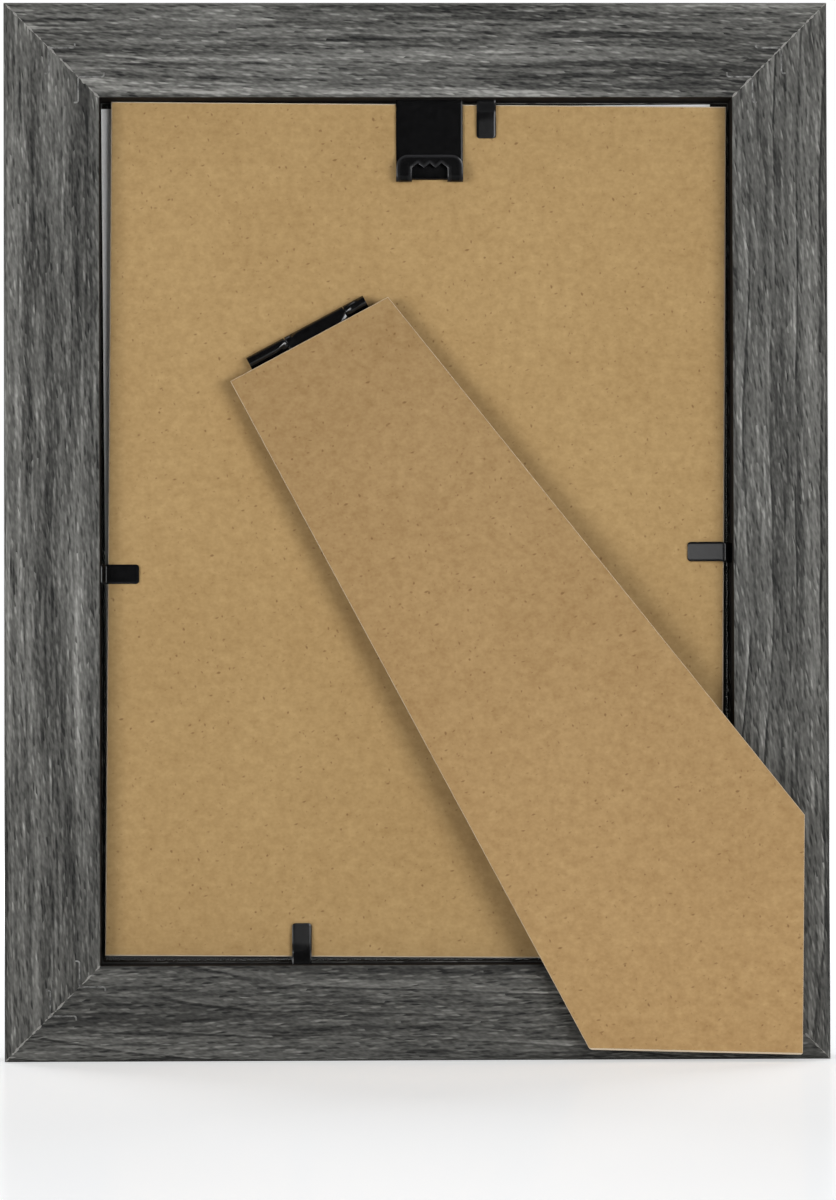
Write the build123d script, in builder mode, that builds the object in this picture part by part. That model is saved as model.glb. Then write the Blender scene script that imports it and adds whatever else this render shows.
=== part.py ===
from build123d import *
from math import asin, cos, degrees, radians, sin

# Easel back photo frame for a 13 by 18 cm print, standing upright with its back towards -Y.
# X runs to the right as seen from the back and Z upwards.
# The origin is the middle of the bottom rail's underside. Lengths are millimetres, angles degrees.

# Print and rebate
print_width = 130.0
print_height = 180.0
rebate_play_across = 1.5  # beside the print, on each side
rebate_play_along = 1.0  # above and below the print

# Moulding
rail_width = 20.0  # back face, from the outer edge to the rebate wall
rail_depth = 15.0
lip_width = 5.0
lip_depth = 4.5
back_edge_radius = 1.2
front_edge_radius = 1.5
sight_edge_radius = 1.0

# Mitre nails
nail_insets = (9.6, 15.7)  # nail corner to the rails' outer edges
nail_leg = 5.4
nail_hook = 0.9
nail_bend_radius = 0.5
nail_gauge = 0.35
nail_depth = 7.0
nail_sink = 0.1  # below the rail's back face

# Glazing, sheet and back board
glass_thickness = 2.0
glass_play = 0.5  # glazing edge to rebate wall
sheet_thickness = 0.3
sheet_margin = 0.6  # print size to the sheet's edge, on each side
sheet_shift_x = -1.3
sheet_shift_z = 0.55
sheet_turn = 0.42  # seen from the back, the sheet lies this far off square
board_thickness = 2.5
board_margin = 0.05  # print size to the board's edge, on each side
board_shift_x = 0.0
board_shift_z = 0.25
board_turn = -0.5
board_edge_break = 0.2

# Flexible tabs: width, bend and how far each stands out of its rebate wall
tab_width = 4.1
tab_gauge = 0.4
tab_rise = 1.2  # shank's middle above the board
tab_slope_run = 2.0  # stretch that slopes down to the board
tab_bend_radius = 0.8
tab_tip_radius = 0.7
tab_board_gap = 0.05
tab_axis_inset = 0.5  # bend line in front of the rebate wall
tab_shank_depth = 6.0
tab_point = 2.0
tab_reach_top = 8.1
tab_reach_bottom = 8.6
tab_reach_left = 8.1
tab_reach_right = 9.3
tab_bottom_place_share = -0.183  # of the opening's width, from its middle
tab_left_place_share = -0.049  # of the opening's height, from its middle
tab_right_place_share = -0.026
bend_gap = 0.05  # between a driven shank and the finger that bends

# Hanger: one folded strip, its flap open at the bottom round a toothed notch
hanger_place_share = 0.0222  # of the opening's width, from its middle
hanger_width = 14.1
hanger_gauge = 0.6
hanger_drop = 17.4  # rebate wall to the fold
hanger_flap = 5.6  # fold to the flap's top edge
hanger_flap_gap = 1.4  # between plate and flap
hanger_flap_radius = 2.4
hanger_notch_width = 7.5
hanger_notch_height = 3.9  # fold to the roots of the teeth
hanger_tooth_height = 1.0
hanger_tooth_count = 3
hanger_plate_notch = 0.7  # the plate stops this far short of the fold between the two feet
hanger_axis_inset = 0.7
hanger_bridge = 1.5  # driven strip behind the two prongs
hanger_prong_width = 3.4
hanger_prong_depth = 7.0
hanger_prong_point = 2.0
tab_hanger_gap = 2.9

# Easel leg hinge
hinge_place_x_share = -0.1324  # of the outer width, from the middle
hinge_place_z_share = 0.6886  # of the outer height, from the bottom
hinge_turn = 28.1  # rise of the hinge line to the right
hinge_width = 27.8
knuckle_radius = 1.4
leaf_gauge = 0.5
leaf_length = 13.0
leaf_corner_radius = 2.0
knuckle_gap = 0.25
board_knuckle_shares = ((0.0, 0.319), (0.829, 1.0))
leg_knuckle_shares = (0.326, 0.822)
heel_shares = ((0.326, 0.396), (0.752, 0.822))
pin_play = 0.04  # radial
prong_width = 2.0
prong_length = 1.6
prong_pitch_along = 18.0
prong_pitch_across = 6.0
leg_rest_angle = 2.2  # leg to board, as photographed
leg_open_angle = 28.5
heel_reach = 0.85  # heel's square corner past the pin's middle
heel_gap = 0.05

# Easel leg
leg_thickness = 2.5
leg_top_width = 37.5
leg_offset = -0.41  # leg's middle from the hinge's middle, along the pin
leg_top_gap = 0.4  # hinge barrel to the leg's top edge
leg_side_gap = 5.73  # landscape foot's upper end to the rail's outer edge
leg_foot_lean = 0.78  # its lower end lies this much further in
leg_floor_gap = 1.28
leg_foot_rise = 1.17  # inner end of the portrait foot above its corner
leg_landscape_foot = 49.88
leg_rest_gap = 0.3  # folded leg to the rails
leg_edge_break = 0.35

overrun = 1.0  # cuts run this far past the faces they open

# Sizes that follow
opening_width = print_width + 2 * rebate_play_across
opening_height = print_height + 2 * rebate_play_along
outer_width = opening_width + 2 * rail_width
outer_height = opening_height + 2 * rail_width
middle_height = outer_height / 2

# Levels are distances from the moulding's middle towards the back
rail_back_level = rail_depth / 2
glass_level = lip_depth - rail_depth / 2
sheet_level = glass_level + glass_thickness
board_level = sheet_level + sheet_thickness
board_back_level = board_level + board_thickness
tab_level = board_back_level + tab_rise
hanger_level = board_back_level + tab_board_gap + hanger_gauge / 2

right_way = Vector(1, 0, 0)
left_way = Vector(-1, 0, 0)
up_way = Vector(0, 0, 1)
down_way = Vector(0, 0, -1)
back_way = Vector(0, -1, 0)

hanger_x = hanger_place_share * opening_width
tab_top_x = hanger_x + hanger_width / 2 + tab_hanger_gap + tab_width / 2
top_wall = middle_height + opening_height / 2
bottom_wall = middle_height - opening_height / 2

# Each tab: its place on the rebate wall, the way it points and how far it stands out
tabs = {
    "top": (tab_top_x, top_wall, down_way, tab_reach_top),
    "bottom": (tab_bottom_place_share * opening_width, bottom_wall, up_way, tab_reach_bottom),
    "left": (
        -opening_width / 2,
        middle_height + tab_left_place_share * opening_height,
        right_way,
        tab_reach_left,
    ),
    "right": (
        opening_width / 2,
        middle_height + tab_right_place_share * opening_height,
        left_way,
        tab_reach_right,
    ),
}


def write_piece(builder, label):
    """Name a finished piece and write it to its own file."""
    builder.part.label = label
    export_step(builder.part, "parts/" + label + ".step")


def side_plane(x, z, level, inward):
    """A plane across a rebate wall: its X points into the opening and its Y to the back."""
    return Plane(origin=(x, -level, z), x_dir=inward, z_dir=inward.cross(back_way))


def flat_plane(x, z, level, inward):
    """A plane parallel to the back, with its X pointing into the opening."""
    return Plane(origin=(x, -level, z), x_dir=inward, z_dir=back_way)


def nail_blanks(level, depth):
    """The V-nails of all four mitres, from a level of the rails into the wood."""
    with BuildPart() as blanks:
        with BuildSketch(Plane.XZ.offset(level)):
            for side in (-1, 1):
                for end in (-1, 1):
                    for inset in nail_insets:
                        corner_x = side * (outer_width / 2 - inset)
                        corner_z = middle_height + end * (outer_height / 2 - inset)
                        run_x = corner_x - side * nail_leg
                        run_z = corner_z - end * nail_leg
                        with BuildLine():
                            FilletPolyline(
                                (corner_x + side * nail_hook, run_z),
                                (corner_x, run_z),
                                (corner_x, corner_z),
                                (run_x, corner_z),
                                (run_x, corner_z + end * nail_hook),
                                radius=nail_bend_radius,
                            )
                        trace(line_width=nail_gauge)
        extrude(amount=-depth)
    return blanks


def tab_shank(x, z, inward):
    """The driven end of a tab: a pointed strip from its bend line into the rail."""
    root = tab_axis_inset - tab_gauge / 2 - bend_gap
    shoulder = tab_point - tab_shank_depth
    half = tab_width / 2
    with BuildPart() as shank:
        with BuildSketch(flat_plane(x, z, tab_level, inward)):
            with BuildLine():
                Polyline(
                    (root, half),
                    (shoulder, half),
                    (-tab_shank_depth, 0),
                    (shoulder, -half),
                    (root, -half),
                    close=True,
                )
            make_face()
        extrude(amount=tab_gauge / 2, both=True)
    return shank


def tab_finger(x, z, inward, reach):
    """The exposed end of a tab: a rounded root on its bend line, a slope and a flat tip on the board."""
    flat = tab_board_gap + tab_gauge / 2 - tab_rise
    with BuildPart() as finger:
        with BuildSketch(side_plane(x, z, tab_level, inward)):
            with BuildLine():
                FilletPolyline(
                    (tab_axis_inset, 0),
                    (tab_axis_inset + tab_slope_run, flat),
                    (reach, flat),
                    radius=tab_bend_radius,
                )
            trace(line_width=tab_gauge)
            with Locations((tab_axis_inset, 0)):
                Circle(tab_gauge / 2)
        extrude(amount=tab_width / 2, both=True)
        tip = finger.faces().sort_by(Axis((0, 0, 0), inward))[-1]
        fillet(tip.edges().filter_by(Axis.Y), tab_tip_radius)
    return finger


def build_rail(label, middle, inward, along, run, cutters):
    """One rail: its moulding section carried along the run, mitred at both ends, with its driven slots."""
    with BuildPart() as rail:
        with BuildSketch(Plane(origin=middle, x_dir=inward, z_dir=along)) as section:
            with BuildLine():
                Polyline(
                    (0, -rail_depth / 2),
                    (rail_width, -rail_depth / 2),
                    (rail_width, rail_depth / 2 - lip_depth),
                    (rail_width + lip_width, rail_depth / 2 - lip_depth),
                    (rail_width + lip_width, rail_depth / 2),
                    (0, rail_depth / 2),
                    close=True,
                )
            make_face()
            fillet(section.vertices().group_by(Axis.X)[0].sort_by(Axis.Y)[0], back_edge_radius)
            fillet(section.vertices().group_by(Axis.Y)[-1].sort_by(Axis.X)[0], front_edge_radius)
            fillet(section.vertices().group_by(Axis.Y)[-1].sort_by(Axis.X)[-1], sight_edge_radius)
        extrude(amount=run / 2, both=True)
        for end in (-1, 1):
            mitre = Plane(origin=middle + along * (end * run / 2), z_dir=inward + along * end)
            split(bisect_by=mitre, keep=Keep.BOTTOM)
        for cutter in cutters:
            add(cutter.part, mode=Mode.SUBTRACT)
    write_piece(rail, label)


def lying_sheet(thickness, level, margin, shift_x, shift_z, turn, edge_break):
    """A rectangular board in the rebate, shifted and turned within its play."""
    width = print_width - 2 * margin
    height = print_height - 2 * margin
    with BuildPart() as lying:
        with BuildSketch(Plane.XZ.offset(level)):
            with Locations((shift_x, middle_height + shift_z)):
                Rectangle(width, height, rotation=turn)
        extrude(amount=thickness)
        if edge_break:
            chamfer(lying.faces().sort_by(Axis.Y)[0].edges(), edge_break)
    return lying


# V-nails
nails = nail_blanks(rail_back_level - nail_sink, nail_depth)
write_piece(nails, "corner_v_nails")
nail_slots = nail_blanks(rail_back_level + overrun, overrun + nail_sink + nail_depth)

# Tabs, each with its driven shank and the finger that bends
shanks = {}
for name, (tab_x, tab_z, tab_inward, tab_reach) in tabs.items():
    shanks[name] = tab_shank(tab_x, tab_z, tab_inward)
    write_piece(shanks[name], "tab_" + name + "_shank")
    write_piece(tab_finger(tab_x, tab_z, tab_inward, tab_reach), "tab_" + name + "_finger")

# Hanger shank: a driven strip with two pointed prongs
with BuildPart() as hanger_shank:
    hanger_root = hanger_axis_inset - hanger_gauge / 2 - bend_gap
    with BuildSketch(flat_plane(hanger_x, top_wall, hanger_level, down_way)):
        with Locations(((hanger_root - hanger_bridge) / 2, 0)):
            Rectangle(hanger_root + hanger_bridge, hanger_width)
        for side in (-1, 1):
            prong_outer = side * hanger_width / 2
            prong_inner = prong_outer - side * hanger_prong_width
            prong_shoulder = hanger_prong_point - hanger_prong_depth
            with BuildLine():
                Polyline(
                    (-hanger_bridge, prong_outer),
                    (prong_shoulder, prong_outer),
                    (-hanger_prong_depth, (prong_outer + prong_inner) / 2),
                    (prong_shoulder, prong_inner),
                    (-hanger_bridge, prong_inner),
                    close=True,
                )
            make_face()
    extrude(amount=hanger_gauge / 2, both=True)
write_piece(hanger_shank, "hanger_shank")

# Hanger plate: the strip runs down the board, folds up into a flap, and is notched round the fold
fold_radius = (hanger_flap_gap + hanger_gauge) / 2
fold_centre = hanger_drop - fold_radius - hanger_gauge / 2
with BuildPart() as hanger_plate:
    with BuildSketch(side_plane(hanger_x, top_wall, hanger_level, down_way)):
        with BuildLine():
            Line((hanger_axis_inset, 0), (fold_centre, 0))
            CenterArc((fold_centre, fold_radius), fold_radius, -90, 180)
            Line((fold_centre, 2 * fold_radius), (hanger_drop - hanger_flap, 2 * fold_radius))
        trace(line_width=hanger_gauge)
        with Locations((hanger_axis_inset, 0)):
            Circle(hanger_gauge / 2)
    extrude(amount=hanger_width / 2, both=True)
    flap_face = hanger_plate.faces().filter_by(Axis.Z).sort_by(Axis.Y)[0]
    fillet(flap_face.edges().filter_by(Axis.Y), hanger_flap_radius)
    notch_plane = flat_plane(hanger_x, top_wall, hanger_level + fold_radius, down_way)
    with BuildSketch(notch_plane):
        tooth_root = hanger_drop - hanger_notch_height
        tooth_pitch = hanger_notch_width / hanger_tooth_count
        saw = [(hanger_drop + overrun, -hanger_notch_width / 2)]
        for tooth in range(hanger_tooth_count):
            tooth_start = tooth * tooth_pitch - hanger_notch_width / 2
            saw.append((tooth_root + hanger_tooth_height, tooth_start))
            saw.append((tooth_root, tooth_start + tooth_pitch / 2))
        saw.append((tooth_root + hanger_tooth_height, hanger_notch_width / 2))
        saw.append((hanger_drop + overrun, hanger_notch_width / 2))
        with BuildLine():
            Polyline(*saw, close=True)
        make_face()
    extrude(amount=fold_radius + hanger_gauge, mode=Mode.SUBTRACT)
    with BuildSketch(notch_plane):
        with Locations((hanger_drop + (overrun - hanger_plate_notch) / 2, 0)):
            Rectangle(overrun + hanger_plate_notch, hanger_notch_width)
    extrude(amount=-fold_radius - hanger_gauge, mode=Mode.SUBTRACT)
write_piece(hanger_plate, "hanger_plate")

# Rails
build_rail(
    "rail_top",
    Vector(0, 0, outer_height),
    down_way,
    right_way,
    outer_width,
    [nail_slots, shanks["top"], hanger_shank],
)
build_rail("rail_bottom", Vector(0, 0, 0), up_way, left_way, outer_width, [nail_slots, shanks["bottom"]])
build_rail(
    "rail_left",
    Vector(-outer_width / 2, 0, middle_height),
    right_way,
    up_way,
    outer_height,
    [nail_slots, shanks["left"]],
)
build_rail(
    "rail_right",
    Vector(outer_width / 2, 0, middle_height),
    left_way,
    down_way,
    outer_height,
    [nail_slots, shanks["right"]],
)

# Glazing and sheet
with BuildPart() as glazing:
    with BuildSketch(Plane.XZ.offset(glass_level)):
        with Locations((0, middle_height)):
            Rectangle(opening_width - 2 * glass_play, opening_height - 2 * glass_play)
    extrude(amount=glass_thickness)
write_piece(glazing, "glazing")
photo_sheet = lying_sheet(
    sheet_thickness, sheet_level, sheet_margin, sheet_shift_x, sheet_shift_z, sheet_turn, 0
)
write_piece(photo_sheet, "photo_sheet")

# Hinge line: its plane has X along the pin, Y up the leg and Z away from the board
hinge_x = hinge_place_x_share * outer_width
hinge_z = hinge_place_z_share * outer_height
pin_level = board_back_level + knuckle_radius
pin_way = Vector(cos(radians(hinge_turn)), 0, sin(radians(hinge_turn)))
leg_up_way = back_way.cross(pin_way)
board_side = Plane(origin=(hinge_x, -pin_level, hinge_z), x_dir=pin_way, z_dir=back_way)
leg_face_way = back_way * cos(radians(leg_rest_angle)) + leg_up_way * sin(radians(leg_rest_angle))
leg_side = Plane(origin=board_side.origin, x_dir=pin_way, z_dir=leg_face_way)
pin_radius = knuckle_radius - leaf_gauge - pin_play
leaf_edge = -knuckle_radius - knuckle_gap  # leaf plates stop here where the other leaf's knuckle turns


def across_pin(side, share):
    """The plane square to the pin, at a share of the hinge's width: X up the leg, Y off the board."""
    start = (share - 1 / 2) * hinge_width
    return Plane(origin=side.origin + side.x_dir * start, x_dir=side.y_dir, z_dir=side.x_dir)


def leaf_prongs(side, face):
    """Four pointed prongs from a leaf into its board; face is 1 for the leg and -1 for the back board."""
    foot = -face * (knuckle_radius - leaf_gauge / 2)
    tip = -face * (knuckle_radius + prong_length)
    with BuildPart() as prongs:
        for row in (-1, 1):
            reach = leaf_edge - (leaf_length + leaf_edge) / 2 + row * prong_pitch_across / 2
            row_origin = side.origin + side.y_dir * reach
            with BuildSketch(Plane(origin=row_origin, x_dir=side.x_dir, z_dir=side.y_dir)):
                for place in (-prong_pitch_along / 2, prong_pitch_along / 2):
                    with BuildLine():
                        Polyline(
                            (place - prong_width / 2, foot),
                            (place + prong_width / 2, foot),
                            (place, tip),
                            close=True,
                        )
                    make_face()
            extrude(amount=leaf_gauge / 2, both=True)
    return prongs


def knuckle_section(face):
    """A leaf's edge curled three quarters round the pin, with the strip that joins it to its plate."""
    Circle(knuckle_radius)
    Circle(knuckle_radius - leaf_gauge, mode=Mode.SUBTRACT)
    with Locations((-knuckle_radius / 2, face * knuckle_radius / 2)):
        Rectangle(knuckle_radius, knuckle_radius, mode=Mode.SUBTRACT)
    with Locations((leaf_edge / 2, face * (knuckle_radius - leaf_gauge / 2))):
        Rectangle(-leaf_edge, leaf_gauge)


def heel_section():
    """A knuckle with a square corner that lands flat on the board when the leg is fully open."""
    knuckle_section(1)
    turn = radians(leg_open_angle)
    drop = knuckle_radius - heel_gap
    toe_x = heel_reach * cos(turn)
    toe_y = heel_reach * sin(turn)
    with BuildLine() as toe:
        Polyline(
            (0, 0),
            (toe_x, toe_y),
            (toe_x + drop * sin(turn), toe_y - drop * cos(turn)),
            (drop * sin(turn), -drop * cos(turn)),
            close=True,
        )
    make_face(toe.edges())
    Circle(knuckle_radius - leaf_gauge, mode=Mode.SUBTRACT)


def leaf_plate(side, face):
    """A leaf's flat plate against its board, with rounded far corners."""
    with BuildPart() as plate:
        with BuildSketch(side.offset(face * (knuckle_radius - leaf_gauge))) as outline:
            with Locations((0, (leaf_edge - leaf_length) / 2)):
                Rectangle(hinge_width, leaf_length + leaf_edge)
            fillet(outline.vertices().group_by(Axis.Y)[0], leaf_corner_radius)
        extrude(amount=face * leaf_gauge)
    return plate


# Board leaf: two knuckles that hold the pin
board_prongs = leaf_prongs(board_side, -1)
with BuildPart() as hinge_board_leaf:
    add(leaf_plate(board_side, -1).part)
    for first, last in board_knuckle_shares:
        with BuildSketch(across_pin(board_side, first)):
            knuckle_section(-1)
        extrude(amount=(last - first) * hinge_width)
    add(board_prongs.part)
write_piece(hinge_board_leaf, "hinge_board_leaf")

# Leg leaf: one long knuckle with a heel at each end
leg_prongs = leaf_prongs(leg_side, 1)
with BuildPart() as hinge_leg_leaf:
    add(leaf_plate(leg_side, 1).part)
    with BuildSketch(across_pin(leg_side, leg_knuckle_shares[0])):
        knuckle_section(1)
    extrude(amount=(leg_knuckle_shares[1] - leg_knuckle_shares[0]) * hinge_width)
    for first, last in heel_shares:
        with BuildSketch(across_pin(leg_side, first)):
            heel_section()
        extrude(amount=(last - first) * hinge_width)
    add(leg_prongs.part)
write_piece(hinge_leg_leaf, "hinge_leg_leaf")

# Hinge pin
with BuildPart() as hinge_pin:
    with BuildSketch(across_pin(board_side, 0)):
        Circle(pin_radius)
    extrude(amount=hinge_width)
write_piece(hinge_pin, "hinge_pin")

# Back board, with the board leaf's prongs pressed into it
with BuildPart() as back_board:
    add(
        lying_sheet(
            board_thickness,
            board_level,
            board_margin,
            board_shift_x,
            board_shift_z,
            board_turn,
            board_edge_break,
        ).part
    )
    add(board_prongs.part, mode=Mode.SUBTRACT)
write_piece(back_board, "back_board")


def on_leg(x, z):
    """Where a point of the back view lies on the leg's own plane, at its rest angle."""
    away = Vector(x - hinge_x, 0, z - hinge_z)
    return (away.dot(pin_way), away.dot(leg_up_way) / cos(radians(leg_rest_angle)))


# Easel leg: a square top at the hinge, a flared outer edge and two feet
leg_top = -knuckle_radius - leg_top_gap
leg_left = leg_offset - leg_top_width / 2
leg_right = leg_offset + leg_top_width / 2
foot_x = outer_width / 2 - leg_side_gap
portrait_foot = on_leg(foot_x - leg_foot_lean, leg_floor_gap)
landscape_foot = on_leg(foot_x, leg_floor_gap + leg_landscape_foot)
inner_foot_fall = (hinge_z + leg_left * pin_way.Z - leg_floor_gap - leg_foot_rise) / leg_up_way.Z
leg_length = inner_foot_fall / cos(radians(leg_rest_angle))
with BuildPart() as easel_leg:
    with BuildSketch(leg_side.offset(knuckle_radius)):
        with BuildLine():
            Polyline(
                (leg_left, leg_top),
                (leg_right, leg_top),
                landscape_foot,
                portrait_foot,
                (leg_left, -leg_length),
                close=True,
            )
        make_face()
    extrude(amount=leg_thickness)
    chamfer(easel_leg.faces().sort_by(Axis.Y)[0].edges(), leg_edge_break)
    add(leg_prongs.part, mode=Mode.SUBTRACT)
write_piece(easel_leg, "easel_leg")

# The folded leg comes to rest on the inner back edges of the right and bottom rails
flare_top = leg_side.from_local_coords((leg_right, leg_top, knuckle_radius))
flare_foot = leg_side.from_local_coords((*landscape_foot, knuckle_radius))
over_right_rail = (opening_width / 2 - flare_top.X) / (flare_foot.X - flare_top.X)
right_touch = flare_top + (flare_foot - flare_top) * over_right_rail
right_reach = -(right_touch - board_side.origin).dot(leg_up_way)
bottom_reach = (hinge_z + leg_left * pin_way.Z - bottom_wall) / leg_up_way.Z
rest_rise = rail_back_level + leg_rest_gap - board_back_level - 2 * knuckle_radius
leg_folded_angle = degrees(asin(rest_rise / min(right_reach, bottom_reach)))

print("outer size", outer_width, outer_height, rail_depth)
print("hinge pin", tuple(board_side.origin), "way", tuple(pin_way))
print("leg folded angle", leg_folded_angle, "leg length", leg_length)
for name, (tab_x, tab_z, tab_inward, tab_reach) in tabs.items():
    bend_point = Vector(tab_x, -tab_level, tab_z) + tab_inward * tab_axis_inset
    print("tab", name, "bends at", tuple(bend_point))
print("hanger bends at", hanger_x, -hanger_level, top_wall - hanger_axis_inset)
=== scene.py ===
# %% [markdown]
# # Easel back photo frame, seen from behind
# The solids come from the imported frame: four mitred rails, V-nails, glass, sheet, back board,
# easel leg, hinge, flexible tabs and hanger. Here they get their finishes. The thin steel strips
# that bend are made anew as one continuous strip each, and the glass as a pane with blunt edges.
# Everything is in metres: +Z is up, and the back of the frame looks towards -Y.

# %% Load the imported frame
from math import cos, pi, radians, sin, tan

import bmesh
import bpy
import numpy as np
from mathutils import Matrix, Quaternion, Vector


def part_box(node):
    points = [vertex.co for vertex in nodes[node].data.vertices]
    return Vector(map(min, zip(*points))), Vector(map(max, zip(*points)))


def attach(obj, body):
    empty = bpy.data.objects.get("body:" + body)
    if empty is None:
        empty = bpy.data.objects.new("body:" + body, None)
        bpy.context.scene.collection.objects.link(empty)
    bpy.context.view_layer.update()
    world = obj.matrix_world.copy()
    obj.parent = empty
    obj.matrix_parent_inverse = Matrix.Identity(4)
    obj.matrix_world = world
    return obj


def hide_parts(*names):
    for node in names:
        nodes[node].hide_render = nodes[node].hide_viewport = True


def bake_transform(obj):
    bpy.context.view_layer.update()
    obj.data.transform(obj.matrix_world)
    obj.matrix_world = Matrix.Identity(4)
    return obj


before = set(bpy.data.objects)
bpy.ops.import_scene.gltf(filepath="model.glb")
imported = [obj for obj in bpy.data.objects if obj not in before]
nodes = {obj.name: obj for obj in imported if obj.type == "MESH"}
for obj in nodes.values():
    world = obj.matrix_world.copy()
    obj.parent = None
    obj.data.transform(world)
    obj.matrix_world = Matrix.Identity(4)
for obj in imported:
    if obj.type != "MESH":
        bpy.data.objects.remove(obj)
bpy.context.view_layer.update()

mm = 0.001

# %% [markdown]
# ## Camera
# The photograph is taken square on from about a metre away with a long lens, a little low and
# a little to the left, so the top and right rebate walls show as thin dark lines.
# Place and direction come from fitting the frame's corners, so no shift is needed.

# %% Camera
camera_data = bpy.data.cameras.new("camera")
camera = bpy.data.objects.new("camera", camera_data)
bpy.context.scene.collection.objects.link(camera)
photo_height = 1200
focal_pixels = 4773.5
camera_data.sensor_width = 36.0
camera_data.lens = focal_pixels * camera_data.sensor_width / photo_height
yaw, pitch, roll = radians(1.127), radians(0.952), radians(-0.156)
looking = Vector((sin(yaw) * cos(pitch), cos(yaw) * cos(pitch), sin(pitch)))
camera.location = (-19.5 * mm, -1007.5 * mm, 79.8 * mm)
camera.rotation_euler = (looking.to_track_quat("-Z", "Y") @ Quaternion((0, 0, 1), roll)).to_euler()
camera_data.clip_start = 0.05
bpy.context.scene.camera = camera
print("lens", round(camera_data.lens, 1), "mm")

# %% [markdown]
# ## Light
# Two soft boxes stand left and right of the camera, about as high as the frame, so the leg
# throws a short soft shadow to both sides. Two more light the front of the frame, and a
# weak one hangs above. The studio behind the camera is dark, so flat black steel stays black.
# The world adds a little fill, and is plain white where the camera sees it.

# %% Light
aim = Vector((0, 0, 110 * mm))


def soft_box(name, place, width, height, power):
    """A rectangular area lamp at a place, turned to face the middle of the frame."""
    lamp = bpy.data.lights.new(name, "AREA")
    lamp.shape = "RECTANGLE"
    lamp.size = width
    lamp.size_y = height
    lamp.energy = power
    box = bpy.data.objects.new(name, lamp)
    box.location = place
    box.rotation_euler = (aim - Vector(place)).to_track_quat("-Z", "Y").to_euler()
    box.visible_camera = False
    bpy.context.scene.collection.objects.link(box)
    return box


soft_box("box_left", (-0.7, -1.0, 0.17), 0.55, 0.32, 5.7)
soft_box("box_right", (0.52, -1.05, 0.17), 0.55, 0.32, 6.6)
soft_box("box_top", (0.0, -0.2, 1.25), 0.8, 0.8, 3.0)
for name, side in (("front_left", -0.7), ("front_right", 0.7)):
    soft_box(name, (side, 1.0, 0.45), 0.6, 0.9, 9.0).visible_glossy = False

world = bpy.data.worlds.new("studio")
bpy.context.scene.world = world
world.use_nodes = True
sky = world.node_tree
sky.nodes.clear()


def put(tree, kind, inputs=None, **settings):
    """Add a node, set its options, and feed each input a value or another node's output."""
    node = tree.nodes.new("ShaderNode" + kind)
    for option, value in settings.items():
        setattr(node, option, value)
    for socket, value in (inputs or {}).items():
        if isinstance(value, bpy.types.NodeSocket):
            tree.links.new(value, node.inputs[socket])
        else:
            node.inputs[socket].default_value = value
    return node


def calc(tree, operation, *values, clamp=False):
    """One Math node: an operation on numbers or other nodes' outputs."""
    return put(tree, "Math", dict(enumerate(values)), operation=operation, use_clamp=clamp).outputs[0]


def spread(tree, value, low, high, to_low=0.0, to_high=1.0):
    """A smooth step: low and below become to_low, high and above become to_high."""
    inputs = {"Value": value, "From Min": low, "From Max": high, "To Min": to_low, "To Max": to_high}
    return put(tree, "MapRange", inputs, interpolation_type="SMOOTHSTEP").outputs[0]


fill_strength = 0.03
dark_studio = 0.03
path = put(sky, "LightPath")
seen = calc(sky, "MAXIMUM", path.outputs["Is Camera Ray"], path.outputs["Is Transmission Ray"])
way = put(sky, "SeparateXYZ", {0: put(sky, "TexCoord").outputs["Generated"]})
backdrop = spread(sky, way.outputs["Y"], -0.25, 0.25, dark_studio, 1.0)
glossy = path.outputs["Is Glossy Ray"]
lit = calc(sky, "MULTIPLY", glossy, calc(sky, "SUBTRACT", backdrop, fill_strength))
strength = calc(sky, "MAXIMUM", seen, calc(sky, "ADD", lit, fill_strength))
shine = put(sky, "Background", {"Color": (1, 1, 1, 1), "Strength": strength})
put(sky, "OutputWorld", {"Surface": shine.outputs[0]})
bpy.context.scene.view_settings.view_transform = "Standard"

# %% [markdown]
# ## Helpers for the finishes
# Every finish is a node tree on one Principled shader, and every pattern is worked out from
# Object coordinates in millimetres, so that it stays on the piece when the piece moves.

# %% Finish helpers


def new_finish(name, roughness, specular=0.5, metallic=0.0):
    """A material with one Principled shader; returns the material, its tree and the shader."""
    finish = bpy.data.materials.new(name)
    finish.use_nodes = True
    tree = finish.node_tree
    tree.nodes.clear()
    shader = put(tree, "BsdfPrincipled")
    shader.inputs["Roughness"].default_value = roughness
    shader.inputs["Specular IOR Level"].default_value = specular
    shader.inputs["Metallic"].default_value = metallic
    put(tree, "OutputMaterial", {"Surface": shader.outputs[0]})
    return finish, tree, shader


def millimetres(tree):
    """The point on the piece in millimetres, as its three coordinates."""
    place = put(tree, "TexCoord").outputs["Object"]
    scaled = put(tree, "VectorMath", {0: place, "Scale": 1000.0}, operation="SCALE").outputs[0]
    split = put(tree, "SeparateXYZ", {0: scaled})
    return split.outputs["X"], split.outputs["Y"], split.outputs["Z"]


def noise(tree, x, y, z, detail=2.0, roughness=0.5):
    """Noise about 0.5 at a point given by three scaled coordinates."""
    point = put(tree, "CombineXYZ", {0: x, 1: y, 2: z}).outputs[0]
    options = {"Vector": point, "Scale": 1.0, "Detail": detail, "Roughness": roughness}
    return put(tree, "TexNoise", options).outputs[0]


def swing(tree, value, amount):
    """Noise about 0.5 turned into a swing about 0."""
    return calc(tree, "MULTIPLY", calc(tree, "SUBTRACT", value, 0.5), amount)


def tones(tree, value, stops):
    """A colour ramp with the given (position, colour) stops."""
    ramp = put(tree, "ValToRGB", {"Fac": value})
    bands = ramp.color_ramp.elements
    while len(bands) < len(stops):
        bands.new(0.5)
    for band, (position, colour) in zip(bands, stops):
        band.position = position
        band.color = (*colour, 1.0)
    return ramp.outputs["Color"]


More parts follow.
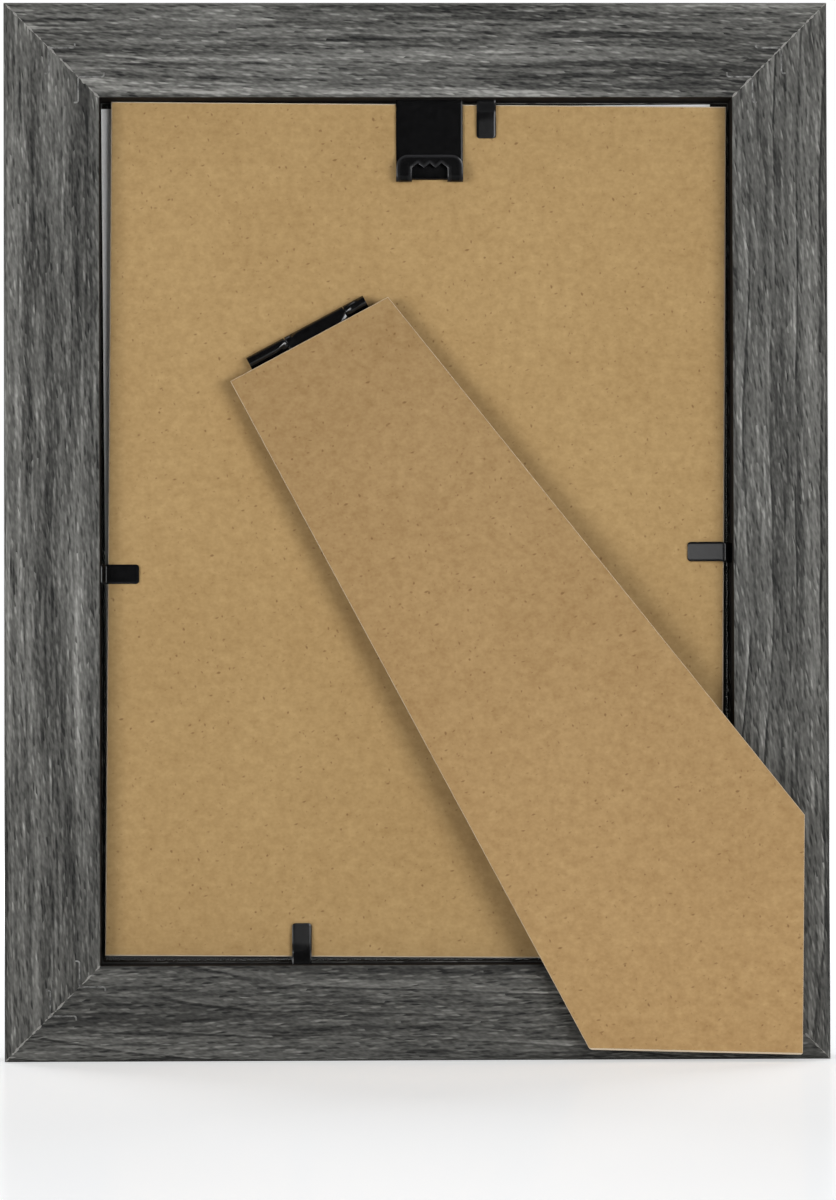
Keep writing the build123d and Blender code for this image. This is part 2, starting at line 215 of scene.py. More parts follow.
def overlay(tree, share, under, over):
    """Mix two colours by a share; a colour is a tuple or another node's output."""
    node = put(tree, "Mix", {"Factor": share}, data_type="RGBA")
    for socket, value in ((6, under), (7, over)):
        if isinstance(value, bpy.types.NodeSocket):
            tree.links.new(value, node.inputs[socket])
        else:
            node.inputs[socket].default_value = (*value, 1.0)
    return node.outputs[2]


def edge_share(tree, radius):
    """How near a sharp edge a point is: the rounded normal's turn away from the true one, 0 to 1."""
    rounded = put(tree, "Bevel", {"Radius": radius * mm}, samples=6).outputs[0]
    true_normal = put(tree, "NewGeometry").outputs["Normal"]
    turn = put(tree, "VectorMath", {0: rounded, 1: true_normal}, operation="DOT_PRODUCT").outputs["Value"]
    return spread(tree, turn, 0.99, 0.8)


def dress(finish, *names):
    """Give solids of the frame a finish."""
    for name in names:
        nodes[name].data.materials.clear()
        nodes[name].data.materials.append(finish)


print("finish helpers ready")

# %% [markdown]
# ## Rail foil
# The moulding is wrapped in a printed and embossed grey wood-grain foil. Its grain runs along
# each rail: broad bands and long fibres from stretched noise, separate dark and pale strokes from
# stretched cells, and growth lines with a sharp dark side. All lie on a coordinate that is bent
# a little so the lines wander. The mitres show a thin broken pale line where the saw chipped
# the foil. The walls of the rebate and the ledge behind the glass get a near-black colour, a
# painted shade for the deep gap between rail and board.

# %% Rail foil
outer_half_width = 86.5
half_height = 111.0
wall_run = (19.9, 22.0)
ledge_run = 20.2
glass_front = 2.9
chip_size = 1.3
ring_levels = [(0.0, 0.0), (0.06, 0.05), (0.1, 0.9), (0.17, 0.75), (0.45, 0.52), (1.0, 0.4)]
foil_greys = [
    (0.0, (0.011, 0.011, 0.0105)),
    (0.25, (0.045, 0.0447, 0.0413)),
    (0.5, (0.108, 0.107, 0.099)),
    (0.75, (0.195, 0.193, 0.18)),
    (1.0, (0.34, 0.337, 0.315)),
]


def rail_foil(
    name, upright, outward, seed, tone, contrast, wander, band, strand, fibre, stroke, feather, growth, ring, drift
):
    """Grey wood-grain foil along a rail.

    It is wrapped round the outer edge, which lies this way outward: 1 for right and top, -1 for
    left and bottom. Tone lifts it and contrast scales it. Wander is how far the grain strays, band
    is for its broad bands, strand for its fibres, which have the width fibre, and stroke for its
    short strokes, which have the slant feather. Growth is for its growth lines, which lie one ring
    apart and drift across the rail.
    """
    finish, tree, shader = new_finish(name, 0.58, 0.18)
    x, y, z = millimetres(tree)
    along, flat = (z, x) if upright else (x, z)
    across = calc(tree, "ADD", flat, calc(tree, "MULTIPLY", y, outward))
    wave = noise(tree, calc(tree, "DIVIDE", along, 60.0), calc(tree, "DIVIDE", across, 18.0), seed)
    wobble = noise(tree, calc(tree, "DIVIDE", along, 12.0), calc(tree, "DIVIDE", across, 4.0), seed + 3.1)
    grain = calc(tree, "ADD", across, swing(tree, wave, wander))
    grain = calc(tree, "ADD", grain, swing(tree, wobble, 0.6))

    def layer(length, width, shift, detail, rough=0.5):
        """Noise stretched to streaks of about this length and width in millimetres."""
        rise = calc(tree, "DIVIDE", grain, width)
        run = calc(tree, "ADD", calc(tree, "DIVIDE", along, length), calc(tree, "MULTIPLY", rise, 0.37))
        return noise(tree, run, rise, seed + shift, detail, rough)

    def strokes(length, width, slant, shift):
        """Separate tapered strokes: stretched cells, each darker or lighter by its own amount."""
        slanted = calc(tree, "ADD", grain, calc(tree, "MULTIPLY", along, slant))
        rise = calc(tree, "DIVIDE", slanted, width)
        run = calc(tree, "ADD", calc(tree, "DIVIDE", along, length), calc(tree, "MULTIPLY", rise, 0.41))
        place = put(tree, "CombineXYZ", {0: calc(tree, "ADD", run, seed + shift), 1: rise}).outputs[0]
        cells = put(tree, "TexVoronoi", {"Vector": place, "Scale": 1.0}, voronoi_dimensions="2D")
        body = spread(tree, cells.outputs["Distance"], 0.48, 0.18)
        amount = put(tree, "SeparateColor", {0: cells.outputs["Color"]}).outputs["Red"]
        return calc(tree, "MULTIPLY", swing(tree, amount, 2.0), body)

    def layer_free(length, width, shift):
        """Noise stretched along the rail and across the grain, with no slant."""
        run, rise = calc(tree, "DIVIDE", along, length), calc(tree, "DIVIDE", grain, width)
        return noise(tree, run, rise, seed + shift, 1.0)

    bands = layer(110.0, 6.0, 7.7, 1.0)
    fibres = layer(60.0, fibre, 11.3, 1.5)
    long_strokes = strokes(12.0, 1.0, -0.02, 17.9)
    short_strokes = strokes(3.2, 0.62, feather, 23.5)
    grit = layer(1.3, 0.5, 29.0, 1.0)
    bend = layer_free(150.0, 60.0, 31.0)
    drifted = calc(tree, "ADD", grain, calc(tree, "MULTIPLY", along, drift))
    phase = calc(tree, "ADD", calc(tree, "DIVIDE", drifted, ring), swing(tree, bend, 4.0))
    ring = tones(tree, calc(tree, "FRACT", phase), [(at, (level,) * 3) for at, level in ring_levels])
    fade = layer(40.0, 6.0, 37.0, 1.0)
    value = calc(tree, "ADD", swing(tree, bands, band), swing(tree, fibres, strand))
    value = calc(tree, "ADD", value, calc(tree, "MULTIPLY", long_strokes, 0.22))
    value = calc(tree, "ADD", value, calc(tree, "MULTIPLY", short_strokes, stroke))
    value = calc(tree, "ADD", value, swing(tree, grit, 0.45))
    value = calc(tree, "MULTIPLY", value, contrast)
    ring_swing = calc(tree, "MULTIPLY", swing(tree, ring, growth), spread(tree, fade, 0.36, 0.54))
    value = calc(tree, "ADD", calc(tree, "ADD", value, ring_swing), 0.44 + tone)
    grey = tones(tree, value, foil_greys)
    side_run = calc(tree, "SUBTRACT", outer_half_width, calc(tree, "ABSOLUTE", x))
    end_run = calc(tree, "SUBTRACT", z, half_height)
    end_run = calc(tree, "SUBTRACT", half_height, calc(tree, "ABSOLUTE", end_run))
    off_mitre = calc(tree, "ABSOLUTE", calc(tree, "SUBTRACT", side_run, end_run))
    chips = noise(tree, *(calc(tree, "DIVIDE", v, chip_size) for v in (x, y, z)), 2.0)
    reach = spread(tree, chips, 0.38, 0.68, 0.0, 0.36)
    chipped = calc(tree, "LESS_THAN", off_mitre, reach)
    grey = overlay(tree, calc(tree, "MULTIPLY", chipped, 0.7), grey, (0.34, 0.33, 0.31))
    # Painted shade: the rebate walls and the ledge behind the glass get a near-black colour that stands in for the
    # shade of the deep gap between rail and board.
    normal = put(tree, "SeparateXYZ", {0: put(tree, "TexCoord").outputs["Normal"]})
    wall = calc(tree, "GREATER_THAN", calc(tree, "ABSOLUTE", normal.outputs["X" if upright else "Z"]), 0.7)
    ledge = calc(tree, "LESS_THAN", normal.outputs["Y"], -0.7)
    run = side_run if upright else end_run
    wall = calc(tree, "MULTIPLY", wall, calc(tree, "LESS_THAN", run, wall_run[1]))
    rebate = calc(tree, "GREATER_THAN", run, wall_run[0])
    rebate = calc(tree, "MULTIPLY", rebate, calc(tree, "LESS_THAN", y, glass_front))
    ledge = calc(tree, "MULTIPLY", ledge, calc(tree, "GREATER_THAN", run, ledge_run))
    rebate = calc(tree, "MAXIMUM", calc(tree, "MULTIPLY", rebate, wall), ledge)
    grey = overlay(tree, rebate, grey, (0.013, 0.01, 0.008))
    tree.links.new(calc(tree, "ADD", 0.58, calc(tree, "MULTIPLY", rebate, 0.4)), shader.inputs["Roughness"])
    tree.links.new(grey, shader.inputs["Base Color"])
    bump = put(tree, "Bump", {"Height": value, "Strength": 0.22, "Distance": 0.00012})
    tree.links.new(bump.outputs[0], shader.inputs["Normal"])
    return finish


straight = {"wander": 1.8, "fibre": 1.5, "stroke": 0.28, "feather": 0.02, "ring": 8.5, "drift": 0.0}
bowed = {"wander": 2.8, "fibre": 1.1, "stroke": 0.3}
bowed_bottom = {**bowed, "feather": -0.13, "ring": 6.0, "drift": 0.09}
bowed_right = {**bowed, "feather": 0.1, "ring": -5.5, "drift": -0.045}
look_names = ("upright", "outward", "seed", "tone", "contrast", "band", "strand", "growth")
rail_looks = {
    "top": ((False, 1, 2.0, -0.02, 1.2, 0.75, 0.9, 0.2), straight),
    "left": ((True, -1, 143.0, 0.0, 1.1, 0.75, 0.7, 0.15), straight),
    # Painted shade: the bottom rail's tone is set lower than the other rails' to stand in for the shade that falls
    # on it.
    "bottom": ((False, -1, 71.0, -0.13, 1.0, 0.6, 0.5, 0.45), bowed_bottom),
    "right": ((True, 1, 209.0, -0.025, 1.05, 0.35, 0.5, 0.6), bowed_right),
}
for side, (look, grain_form) in rail_looks.items():
    dress(rail_foil("foil_" + side, **dict(zip(look_names, look)), **grain_form), "rail_" + side)
print("foil on", [n for n in nodes if n.startswith("rail")])

# %% [markdown]
# ## Fibreboard
# Board and leg are raw thin fibreboard: tan, matt, with fine grit, faint clouds and a few small
# dark fibres. The sawn edges are paler than the pressed faces and a little rounded, which a
# Bevel node finds from the surface around each point. Their pale colour is partly the cut fibre
# and partly a painted highlight where the rounded edges catch the lamps.

# %% Fibreboard


def fibreboard(name, tint, fade, seed):
    """Raw pressed fibreboard with grit, clouds and dark flecks.

    Tint is its mean colour, and fade says how much darker it gets for each millimetre up: a painted shade, lighter
    low down and darker higher up.
    """
    finish, tree, shader = new_finish(name, 0.8, 0.15)
    x, y, z = millimetres(tree)

    def speckle(size, shift, detail=1.0):
        """Noise with grains of about this size in millimetres."""
        return noise(
            tree,
            calc(tree, "DIVIDE", x, size * 1.15),
            calc(tree, "ADD", calc(tree, "DIVIDE", y, size), seed + shift),
            calc(tree, "DIVIDE", z, size * 0.95),
            detail,
        )

    def fleck(turn, length, width, shift, low, high):
        """Short dark fibres lying along one direction of the board."""
        over, up = cos(turn), sin(turn)
        run = calc(tree, "ADD", calc(tree, "MULTIPLY", x, over), calc(tree, "MULTIPLY", z, up))
        rise = calc(tree, "SUBTRACT", calc(tree, "MULTIPLY", z, over), calc(tree, "MULTIPLY", x, up))
        run, rise = calc(tree, "DIVIDE", run, length), calc(tree, "DIVIDE", rise, width)
        return spread(tree, noise(tree, run, rise, seed + shift, 0.0), low, high)

    mottle = calc(tree, "ADD", swing(tree, speckle(36.0, 1.0), 0.2), swing(tree, speckle(4.0, 5.0), 0.17))
    mottle = calc(tree, "ADD", mottle, swing(tree, speckle(1.6, 9.0), 0.38))
    mottle = calc(tree, "ADD", mottle, swing(tree, speckle(0.6, 11.0), 0.26))
    flecks = fleck(0.3, 1.5, 0.8, 13.0, 0.74, 0.92)
    flecks = calc(tree, "MAXIMUM", flecks, fleck(1.9, 1.2, 0.8, 19.0, 0.74, 0.92))
    flecks = calc(tree, "MAXIMUM", flecks, fleck(1.1, 0.9, 0.8, 27.0, 0.75, 0.92))
    mixed = {0: mottle, 1: pale_fibre, 2: tint}
    tan_tone = put(tree, "VectorMath", mixed, operation="MULTIPLY_ADD").outputs[0]
    # Painted shade: the colour is scaled lighter below a middle height and darker above it, by fade per
    # millimetre.
    below = calc(tree, "SUBTRACT", painted_shade_height, z)
    light = calc(tree, "ADD", 1.0, calc(tree, "MULTIPLY", below, fade))
    tan_tone = put(tree, "VectorMath", {0: tan_tone, "Scale": light}, operation="SCALE").outputs[0]
    tan_tone = overlay(tree, calc(tree, "MULTIPLY", flecks, 0.65), tan_tone, (0.18, 0.085, 0.032))
    # Paler sawn edges: partly the cut fibre's own colour, partly a painted highlight where the rounded edges catch
    # the lamps.
    facing = put(tree, "SeparateXYZ", {0: put(tree, "TexCoord").outputs["Normal"]}).outputs["Y"]
    sawn_and_lit_edge = spread(tree, calc(tree, "ABSOLUTE", facing), 0.97, 0.9)
    sawn_and_lit_edge = calc(tree, "MULTIPLY", calc(tree, "MAXIMUM", sawn_and_lit_edge, edge_share(tree, 0.35)), 0.85)
    tan_tone = overlay(tree, sawn_and_lit_edge, tan_tone, (0.86, 0.74, 0.57))
    tree.links.new(tan_tone, shader.inputs["Base Color"])
    rounded = put(tree, "Bevel", {"Radius": 0.35 * mm}, samples=6).outputs[0]
    bump = put(tree, "Bump", {"Height": mottle, "Strength": 0.12, "Distance": 0.0001, "Normal": rounded})
    tree.links.new(bump.outputs[0], shader.inputs["Normal"])
    return finish


pale_fibre = (0.342, 0.278, 0.153)
painted_shade_height = 80.0
dress(fibreboard("board_tan", (0.425, 0.279, 0.121), 0.0, 4.0), "back_board")
# The leg's fade is painted shade, darker towards its top and lighter towards its foot.
dress(fibreboard("leg_tan", (0.404, 0.2585, 0.1143), 0.0015, 57.0), "easel_leg")
print("fibreboard on back_board and easel_leg")

# %% [markdown]
# ## Steel, paper and glass
# Tabs, hanger and hinge are blackened sheet steel with a satin skin. The V-nails are bare
# steel, dulled in patches where the foil was driven in with them. The sheet is plain white
# paper and the pane is clear thin glass, which lets the light through to the sheet. Its mirror
# share is Schlick's head_on + (1 - head_on) (1 - cos)^5, the same from both sides of a face. The
# Fresnel node would turn a back face into a full mirror past 42 degrees, because the light goes
# straight through here instead of being bent.

# %% Steel, paper and glass


def satin_steel(name, dark, light, size, roughness, specular, metallic, edge, wear_and_highlight, slits=()):
    """Sheet steel: a cloudy skin between two tones, and paler edges that are partly wear and partly a painted
    highlight.

    Each slit is a place along the pin and a depth, and makes a slanting dip there.
    """
    finish, tree, shader = new_finish(name, roughness, specular, metallic)
    x, y, z = millimetres(tree)
    skin = noise(tree, *(calc(tree, "DIVIDE", v, size) for v in (x, y, z)), 3.0)
    # Paler edges, from the strip's attribute and from the Bevel node: partly wear, partly a painted highlight
    # where the edges catch the lamps.
    edges = put(tree, "Attribute", attribute_name="wear_and_highlight").outputs["Fac"]
    edges = calc(tree, "MAXIMUM", edges, edge_share(tree, edge))
    tone = overlay(tree, edges, tones(tree, skin, [(0.35, dark), (0.65, light)]), wear_and_highlight)
    tree.links.new(tone, shader.inputs["Base Color"])
    height = calc(tree, "MULTIPLY", skin, 0.006)
    along = calc(tree, "ADD", calc(tree, "MULTIPLY", x, pin_x), calc(tree, "MULTIPLY", z, pin_z))
    above = calc(tree, "SUBTRACT", calc(tree, "MULTIPLY", z, pin_x), calc(tree, "MULTIPLY", x, pin_z))
    above = calc(tree, "SUBTRACT", above, pin_height)
    along = calc(tree, "SUBTRACT", along, calc(tree, "MULTIPLY", above, slit_slant))
    for slit, depth in slits:
        off = calc(tree, "DIVIDE", calc(tree, "SUBTRACT", along, slit), slit_width)
        dip = calc(tree, "EXPONENT", calc(tree, "MULTIPLY", calc(tree, "MULTIPLY", off, off), -1.0))
        height = calc(tree, "SUBTRACT", height, calc(tree, "MULTIPLY", dip, depth))
    rounded = put(tree, "Bevel", {"Radius": edge * mm}, samples=6).outputs[0]
    bump = put(tree, "Bump", {"Height": height, "Strength": 1.0, "Distance": mm, "Normal": rounded})
    tree.links.new(bump.outputs[0], shader.inputs["Normal"])
    return finish


pin_x, pin_z, pin_height = 0.8821, 0.471, 145.63
slit_slant, slit_width = 1.5, 1.05
knuckle_slits = ((46.86, 0.26), (62.5, 0.14))
coal, soot = (0.0015, 0.0015, 0.0017), (0.004, 0.004, 0.0043)
# Edge tones below: partly wear, partly a painted highlight.
black_wear_and_highlight, hinge_wear_and_highlight, tab_wear_and_highlight = (0.024, 0.024, 0.0255), (0.018, 0.018, 0.019), (0.006, 0.006, 0.0063)
black_steel = satin_steel("black_steel", coal, soot, 1.4, 0.2, 0.2, 0.0, 0.1, black_wear_and_highlight)
tab_steel = satin_steel("tab_steel", coal, soot, 1.4, 0.2, 0.2, 0.0, 0.06, tab_wear_and_highlight)
hinge_steel = satin_steel("hinge_steel", coal, soot, 1.4, 0.16, 0.5, 0.0, 0.2, hinge_wear_and_highlight, knuckle_slits)
dull, bare = (0.06, 0.06, 0.058), (0.26, 0.26, 0.25)
dull_steel = satin_steel("dull_steel", dull, bare, 1.1, 0.45, 0.5, 0.5, 0.05, bare)
dress(hinge_steel, "hinge_board_leaf", "hinge_leg_leaf", "hinge_pin")
dress(dull_steel, "corner_v_nails")

paper, paper_tree, paper_shader = new_finish("white_paper", 0.7, 0.3)
fibre = noise(paper_tree, *(calc(paper_tree, "DIVIDE", v, 0.5) for v in millimetres(paper_tree)), 3.0)
paper_white = tones(paper_tree, fibre, [(0.2, (0.76, 0.76, 0.755)), (0.8, (0.86, 0.86, 0.855))])
paper_tree.links.new(paper_white, paper_shader.inputs["Base Color"])
dress(paper, "photo_sheet")

pane = bpy.data.materials.new("clear_glass")
pane.use_nodes = True
pane_tree = pane.node_tree
pane_tree.nodes.clear()
through = put(pane_tree, "BsdfTransparent", {"Color": (0.98, 0.99, 0.986, 1)})
mirror = put(pane_tree, "BsdfGlossy", {"Color": (1, 1, 1, 1), "Roughness": 0.02})
facing = put(pane_tree, "LayerWeight", {"Blend": 0.5}).outputs["Facing"]
head_on = 0.04
share = calc(pane_tree, "MULTIPLY_ADD", calc(pane_tree, "POWER", facing, 5.0), 1.0 - head_on, head_on)
clear = put(pane_tree, "MixShader", {0: share, 1: through.outputs[0], 2: mirror.outputs[0]})
put(pane_tree, "OutputMaterial", {"Surface": clear.outputs[0]})
dress(pane, "glazing")
print("steel, paper and glass on 6 nodes")

# %% [markdown]
# ## Flexible tabs
# Each tab is one strip of soft steel: a pointed shank driven into the rebate wall and a finger
# that is pressed down on the board by hand, so no two lie quite alike. The strip's middle
# surface is worked out on a grid of distance from the wall and distance across, then given
# its thickness.

# %% Strip helpers


def ease(value, low, high):
    """Smooth step of an array: 0 below low, 1 above high, with level ends."""
    share = np.clip((value - low) / (high - low), 0.0, 1.0)
    return share * share * (3.0 - 2.0 * share)


def grid_faces(rows, columns, first=0):
    """Corner numbers of the quads of a grid of points stored row by row."""
    number = first + np.arange(rows * columns).reshape(rows, columns)
    corners = [number[:-1, :-1], number[:-1, 1:], number[1:, 1:], number[1:, :-1]]
    return np.stack(corners, axis=-1).reshape(-1, 4)


def joined_mesh(name, points, faces):
    """A mesh of points in millimetres and quads, and its open edges.

    Points that coincide are merged, and the faces are turned outward.
    """
    mesh = bpy.data.meshes.new(name)
    mesh.from_pydata((points * mm).tolist(), [], faces.tolist())
    work = bmesh.new()
    work.from_mesh(mesh)
    bmesh.ops.remove_doubles(work, verts=work.verts, dist=0.001 * mm)
    bmesh.ops.recalc_face_normals(work, faces=work.faces)
    open_edges = np.array([[v.co[:] for v in e.verts] for e in work.edges if e.is_boundary])
    work.to_mesh(mesh)
    work.free()
    return mesh, open_edges


def make_strip(name, points, faces, gauge, round_edge, finish, wear_and_highlight_level=0.0):
    """A sheet given its thickness and rounded edges, as one finished mesh at the origin.

    Its edge attribute is 1 along the sheet's cut edge and falls to 0 a little further in. It marks
    a paler edge that is partly wear and partly a painted highlight, and only what stands out past
    the level given gets it.
    """
    sheet, cut_edge = joined_mesh(name, points, faces)
    strip = bpy.data.objects.new(name, sheet)
    bpy.context.scene.collection.objects.link(strip)
    wall = strip.modifiers.new("gauge", "SOLIDIFY")
    wall.thickness = gauge * mm
    wall.offset = 0.0
    edge = strip.modifiers.new("edge", "BEVEL")
    edge.width = round_edge * mm
    edge.segments = 2
    edge.limit_method = "ANGLE"
    edge.angle_limit = radians(50)
    edge.harden_normals = True
    view = bpy.context.evaluated_depsgraph_get()
    finished = bpy.data.meshes.new_from_object(strip.evaluated_get(view))
    strip.modifiers.clear()
    strip.data = finished
    finished.shade_smooth()
    spots = np.empty(len(finished.vertices) * 3)
    finished.vertices.foreach_get("co", spots)
    spots = spots.reshape(-1, 1, 3)
    start, side = cut_edge[:, 0], cut_edge[:, 1] - cut_edge[:, 0]
    share = np.clip(((spots - start) * side).sum(-1) / (side * side).sum(-1), 0.0, 1.0)
    inset = np.linalg.norm(spots - start - share[:, :, None] * side, axis=-1).min(axis=1)
    # The paler cut edge is partly wear and partly a painted highlight.
    wear_and_highlight = 1.0 - ease(inset / mm, gauge / 2, gauge / 2 + 0.45)
    wear_and_highlight = wear_and_highlight * ease(-spots[:, 0, 1] / mm, -wear_and_highlight_level, 0.4 - wear_and_highlight_level)
    finished.attributes.new("wear_and_highlight", "FLOAT", "POINT").data.foreach_set("value", wear_and_highlight.astype(np.float32))
    finished.materials.clear()
    finished.materials.append(finish)
    return strip


print("strip helpers ready")

# %% Flexible tabs
tab_half = 2.05
tab_gauge = 0.4
tab_tip = 0.7
shank_level = -3.0
board_level = -2.05


def tab_sheet(reach, slope, skew, bend, twist):
    """Middle surface of a tab: rows run from the driven point to the tip, columns run across.

    The width closes to a point over the last 2 mm of the shank and rounds off at the tip.
    The level eases over the bend from the shank's to a line that meets the board at the tip with
    this slope.
    A twist lifts one side of the finger's outer half off the board.
    """
    tip = reach - tab_tip * (1.0 - np.sin(np.linspace(0.0, pi / 2, 8)))
    run = np.concatenate([[-6.0, -5.0], np.linspace(-4.0, 0.0, 6), np.linspace(0.2, reach - 1.0, 30), tip])
    corner = np.sqrt(np.clip(tab_tip**2 - np.clip(run - reach + tab_tip, 0.0, None) ** 2, 0.0, None))
    half = np.minimum(tab_half - tab_tip + corner, tab_half * np.clip((run + 6.1) / 2.1, 0.0, 1.0))
    laid = board_level - slope * (reach - run)
    level = shank_level + (laid - shank_level) * ease(run, 0.2, bend)
    across = half[:, None] * np.linspace(-1.0, 1.0, 9)[None, :] + (skew * ease(run, 0.8, 2.6))[:, None]
    level = level[:, None] + twist * ease(run, 2.4, 4.6)[:, None] * (across - tab_half)
    return np.broadcast_to(run[:, None], across.shape), across, level


tab_places = {
    "top": ((14.953, 202.0), (0, -1), (8.1, 0.06, 0.0, 2.6, 0.045)),
    "bottom": ((-24.339, 20.0), (0, 1), (8.6, 0.1, 0.0, 2.6, 0.09)),
    "left": ((-66.5, 102.082), (1, 0), (8.1, 0.0, 0.0, 1.1, 0.0)),
    "right": ((66.5, 106.268), (-1, 0), (9.3, 0.26, 0.3, 1.7, 0.0)),
}
for side, ((wall_x, wall_z), (in_x, in_z), form) in tab_places.items():
    run, across, level = tab_sheet(*form)
    up_x, up_z = (0, 1) if in_x else (1, 0)
    x, z = wall_x + in_x * run + up_x * across, wall_z + in_z * run + up_z * across
    spots = np.stack([x, level, z], axis=-1)
    tab = make_strip("tab_" + side, spots.reshape(-1, 3), grid_faces(*run.shape), tab_gauge, 0.08, tab_steel)
    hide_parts(f"tab_{side}_shank", f"tab_{side}_finger")
    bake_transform(tab)
    print(tab.name, len(tab.data.polygons), "faces")

# %% [markdown]
# ## Sawtooth hanger
# The hanger is a steel strip too: two prongs driven into the top rail, a plate flat on the
# board, and a fold at its lower end that turns up into a flap with a toothed notch for the
# nail. Its middle surface is a path from prong to flap, carried across in four patches that
# share their edge points: two side bands, the plate's middle and the flap's middle.

# %% Sawtooth hanger
hanger_x = 2.953
hanger_wall = 202.0
plate_level = -2.15
fold_start = 16.1
fold_radius = 1.0
fold_end = fold_start + pi * fold_radius
flap_end = fold_end + 4.3
notch_half = 3.75
hanger_half = 7.05
hanger_gauge = 0.6
corner_radius = 2.4
plate_end = 16.74
tooth_root = 21.84
tooth_height = 1.0
tooth_pitch = 2.5


def hanger_path(s):
    """Distance from the wall and level along the strip: flat, half a turn round the fold, flat again."""
    turn = np.clip((s - fold_start) / fold_radius, 0.0, pi)
    back = np.clip(s - fold_end, 0.0, None)
    run = np.minimum(s, fold_start) + fold_radius * np.sin(turn) - back
    level = plate_level - fold_radius * (1.0 - np.cos(turn))
    return run, level


def hanger_patch(s, across):
    """Points of a patch of the strip, for its path and across values on a grid."""
    run, level = hanger_path(s)
    return np.stack([hanger_x + across, level, hanger_wall - run], axis=-1)


plate_rows = np.concatenate([np.linspace(-1.5, fold_start, 24), np.linspace(fold_start, plate_end, 5)[1:]])
tooth_rows = np.linspace(fold_end, tooth_root - tooth_height, 5)
fold_rows = np.concatenate([np.linspace(plate_end, fold_end, 14), tooth_rows[1:]])
flap_share = np.sin(np.linspace(0.0, pi / 2, 12))
flap_rows = tooth_root - tooth_height + (flap_end - tooth_root + tooth_height) * flap_share
prong_rows = np.concatenate([[-7.0, -6.0], np.linspace(-5.0, -1.6, 5)])
band_rows = np.concatenate([prong_rows, plate_rows, fold_rows[1:], flap_rows[1:]])
corner = np.clip(band_rows - flap_end + corner_radius, 0.0, corner_radius)
outer = hanger_half - corner_radius + np.sqrt(corner_radius**2 - corner**2)
point = np.clip((band_rows + 7.2) / 2.2, 0.0, 1.0)
prong_middle = (notch_half + hanger_half) / 2
outer = np.where(band_rows < -1.5, prong_middle + (hanger_half - prong_middle) * point, outer)
inner = np.where(band_rows < -1.5, prong_middle - (prong_middle - notch_half) * point, notch_half)
column = np.linspace(0.0, 1.0, 8)
band = inner[:, None] + (outer - inner)[:, None] * column[None, :]
band_path = np.broadcast_to(band_rows[:, None], band.shape)
middle = np.linspace(-notch_half, notch_half, 25)
plate = np.broadcast_to(middle[None, :], (len(plate_rows), len(middle)))
plate_path = np.broadcast_to(plate_rows[:, None], plate.shape)
zigzag = np.abs(2.0 * np.mod((middle + notch_half) / tooth_pitch, 1.0) - 1.0)
tooth_line = tooth_root - tooth_height * zigzag
flap_path = tooth_line[None, :] + (flap_end - tooth_line)[None, :] * flap_share[:, None]
flap = np.broadcast_to(middle[None, :], flap_path.shape)
patches = [(band_path, band), (band_path, -band), (plate_path, plate), (flap_path, flap)]
spots, faces, count = [], [], 0
for path_values, across in patches:
    spots.append(hanger_patch(path_values, across).reshape(-1, 3))
    faces.append(grid_faces(*across.shape, first=count))
    count += across.size
spots, faces = np.concatenate(spots), np.concatenate(faces)
# Only the flap stands out past the level given, so only its outline gets the paler edge, partly wear and partly a
# painted highlight.
hanger = make_strip("hanger_strip", spots, faces, hanger_gauge, 0.12, black_steel, wear_and_highlight_level=-3.0)
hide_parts("hanger_shank", "hanger_plate")
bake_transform(hanger)
print(hanger.name, len(hanger.data.polygons), "faces")

# %% [markdown]
# ## Glazing pane
# The pane lies flat against the sheet, and a render can't tell two faces in one plane apart. So
# the pane is made anew with a hair of air behind it. Its edges are taken off with a stone, as on
# any cut glass: one outline is carried from front to back over four levels.

# %% Glazing pane
pane_low, pane_high = (np.array(corner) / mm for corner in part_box("glazing"))
arris = 0.3
air = 0.04


def pane_outlines():
    """The pane's outline at four levels from front to back, drawn in by the arris on both faces."""
    inset = np.array([arris, 0.0, 0.0, arris])[:, None]
    front, back = pane_high[1], pane_low[1] + air
    level = np.array([front, front - arris, back + arris, back])[:, None]
    middle, half = (pane_low + pane_high) / 2, (pane_high - pane_low) / 2
    x = middle[0] + np.array([-1, 1, 1, -1, -1]) * (half[0] - inset)
    z = middle[2] + np.array([-1, -1, 1, 1, -1]) * (half[2] - inset)
    return np.stack([x, np.broadcast_to(level, x.shape), z], axis=-1)


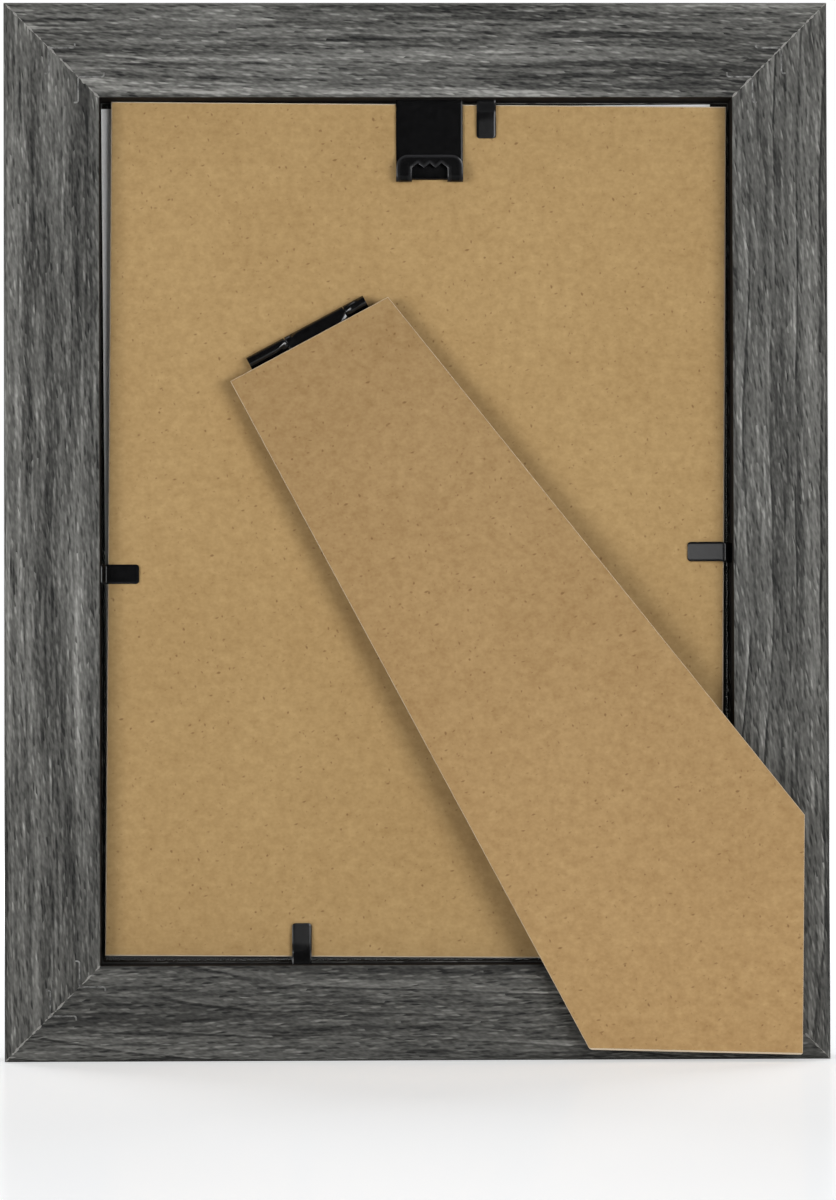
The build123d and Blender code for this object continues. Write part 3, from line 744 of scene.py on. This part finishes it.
outlines = pane_outlines()
two_faces = np.array([[0, 1, 2, 3], [15, 16, 17, 18]])
pane_faces = np.concatenate([grid_faces(*outlines.shape[:2]), two_faces])
pane_mesh, open_edges = joined_mesh("glazing_pane", outlines.reshape(-1, 3), pane_faces)
glazing_pane = bpy.data.objects.new("glazing_pane", pane_mesh)
bpy.context.scene.collection.objects.link(glazing_pane)
pane_mesh.materials.append(pane)
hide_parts("glazing")
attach(glazing_pane, "frame")
print(glazing_pane.name, len(pane_mesh.polygons), "faces,", len(open_edges), "open edges")

# %% [markdown]
# ## Floor
# A plain white table top with a faint sheen that mirrors the foot of the frame. For the camera
# it glows a little, more so further off, so that it runs into the white background without a
# horizon, and the frame's own soft shadow stays.

# %% Floor
table_mesh = bpy.data.meshes.new("table_top")
table_reach = 4.0
corners = np.array([[-1, -1], [1, -1], [1, 1], [-1, 1]]) * table_reach
table_points = np.column_stack([corners, np.full(4, -0.05 * mm)])
table_mesh.from_pydata(table_points.tolist(), [], [(0, 1, 2, 3)])
table_top = bpy.data.objects.new("table_top", table_mesh)
bpy.context.scene.collection.objects.link(table_top)
table_white = bpy.data.materials.new("table_white")
table_white.use_nodes = True
table_tree = table_white.node_tree
table_tree.nodes.clear()
table_x, table_y, _ = millimetres(table_tree)
matt = put(table_tree, "BsdfDiffuse", {"Color": (0.785, 0.8, 0.82, 1)})
sheen = put(table_tree, "BsdfGlossy", {"Color": (1, 1, 1, 1), "Roughness": 0.12})
top_coat = put(table_tree, "MixShader", {0: 0.07, 1: matt.outputs[0], 2: sheen.outputs[0]})
spot = put(table_tree, "CombineXYZ", {0: table_x, 1: table_y}).outputs[0]
distance = put(table_tree, "VectorMath", {0: spot}, operation="LENGTH").outputs["Value"]
glow_near, glow_far, near_glow = 240.0, 700.0, 0.465
glow = spread(table_tree, distance, glow_near, glow_far, near_glow, 1.0)
camera_glow = calc(table_tree, "MULTIPLY", glow, put(table_tree, "LightPath").outputs["Is Camera Ray"])
lamp_glow = put(table_tree, "Emission", {"Color": (1, 1, 1, 1), "Strength": camera_glow})
table_skin = put(table_tree, "AddShader", {0: top_coat.outputs[0], 1: lamp_glow.outputs[0]})
put(table_tree, "OutputMaterial", {"Surface": table_skin.outputs[0]})
table_mesh.materials.append(table_white)
print("table top", table_reach * 2, "m wide")
